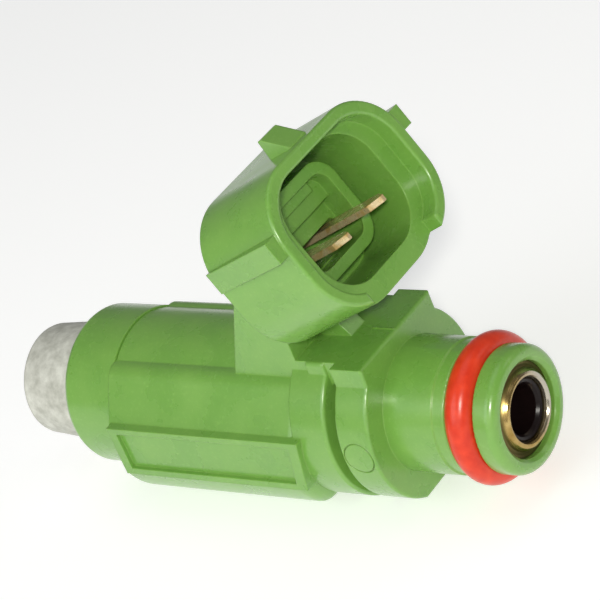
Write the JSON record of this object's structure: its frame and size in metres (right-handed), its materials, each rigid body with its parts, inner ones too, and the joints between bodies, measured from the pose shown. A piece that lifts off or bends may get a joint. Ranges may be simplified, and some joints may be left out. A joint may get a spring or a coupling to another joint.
{
  "type": "fuel injector",
  "caption": "Top-feed solenoid fuel injector with a green moulded body, an angled two-pin socket, a red rail seal and a spring-closed ball valve.",
  "frame": {"origin": "on the injector's axis at the nozzle's tip face, where the spray leaves", "axes": "+X along the injector towards the fuel inlet, +Z to the side that the electrical socket stands on, +Y across the injector"},
  "size_m": [0.0606, 0.0232, 0.0401],
  "materials": {
    "green_moulding": "satin glass-filled nylon, mid green",
    "grey_cap": "matte mottled light grey",
    "red_rubber": "satin orange-red",
    "black_rubber": "matte black",
    "magnet_steel": "turned, plain",
    "bobbin_plastic": "matte black nylon",
    "copper_wire": "enamelled copper",
    "stainless": "turned stainless",
    "terminal_plating": "tin over brass, worn",
    "passivated_tube": "yellow-passivated steel",
    "filter_plastic": "matte dark nylon",
    "filter_cloth": "fine nylon gauze",
    "ground_steel": "ground and lapped",
    "spring_steel": "drawn wire"
  },
  "bodies": {
    "injector_body": {"body_overmould": "green_moulding", "nozzle_sleeve": "green_moulding", "nozzle_cap": "grey_cap", "rail_o_ring": "red_rubber", "seal_front": "black_rubber", "seal_rear": "black_rubber", "yoke_housing": "magnet_steel", "yoke_washer": "magnet_steel", "coil_bobbin": "bobbin_plastic", "coil_winding": "copper_wire", "nonmagnetic_ring": "stainless", "terminal_left": "terminal_plating", "terminal_right": "terminal_plating", "inlet_tube": "passivated_tube", "adjuster_tube": "stainless", "filter_ring": "passivated_tube", "filter_frame": "filter_plastic", "filter_mesh": "filter_cloth", "valve_body": "stainless", "lift_stop": "stainless", "valve_seat": "ground_steel", "orifice_plate": "ground_steel", "return_spring": "spring_steel"},
    "needle": {"valve_ball": "ground_steel", "valve_stem": "stainless", "armature": "magnet_steel"}
  },
  "joints": [
    {"name": "needle_lift", "type": "slide", "parent": "injector_body", "child": "needle", "axis": [1, 0, 0], "range_m": [0, 0.0001], "stiffness_N_per_m": 200, "springref_m": -0.005}
  ]
}
